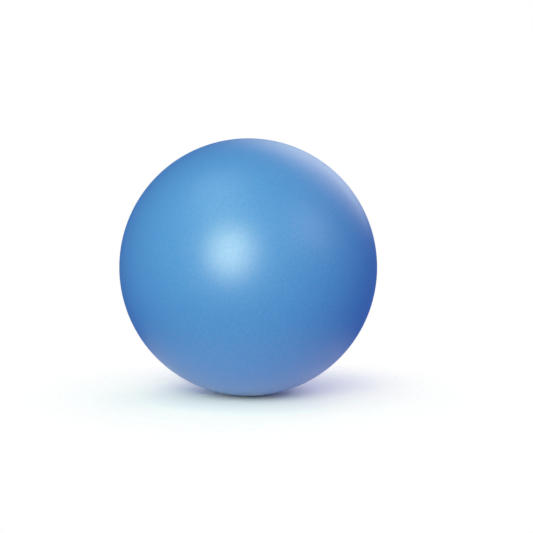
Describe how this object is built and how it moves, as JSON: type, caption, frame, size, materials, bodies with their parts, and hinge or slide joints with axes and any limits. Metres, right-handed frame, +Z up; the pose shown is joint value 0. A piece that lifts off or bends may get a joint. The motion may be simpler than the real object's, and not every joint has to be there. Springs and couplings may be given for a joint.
{
  "type": "croquet ball",
  "caption": "Smooth croquet ball with a solid composition core in a moulded plastic cover of two halves, lapped and bonded at the seam.",
  "frame": {"origin": "centre of the ball", "axes": "+Z up; +Y through the poles of the two cover halves, from the front half to the rear half, so the seam is the circle in the plane y = 0"},
  "size_m": [0.092, 0.092, 0.092],
  "materials": {
    "cover_plastic": "satin",
    "core_composition": "matte"
  },
  "bodies": {
    "root": {"core": "core_composition", "front_cover_half": "cover_plastic", "rear_cover_half": "cover_plastic"}
  },
  "joints": []
}
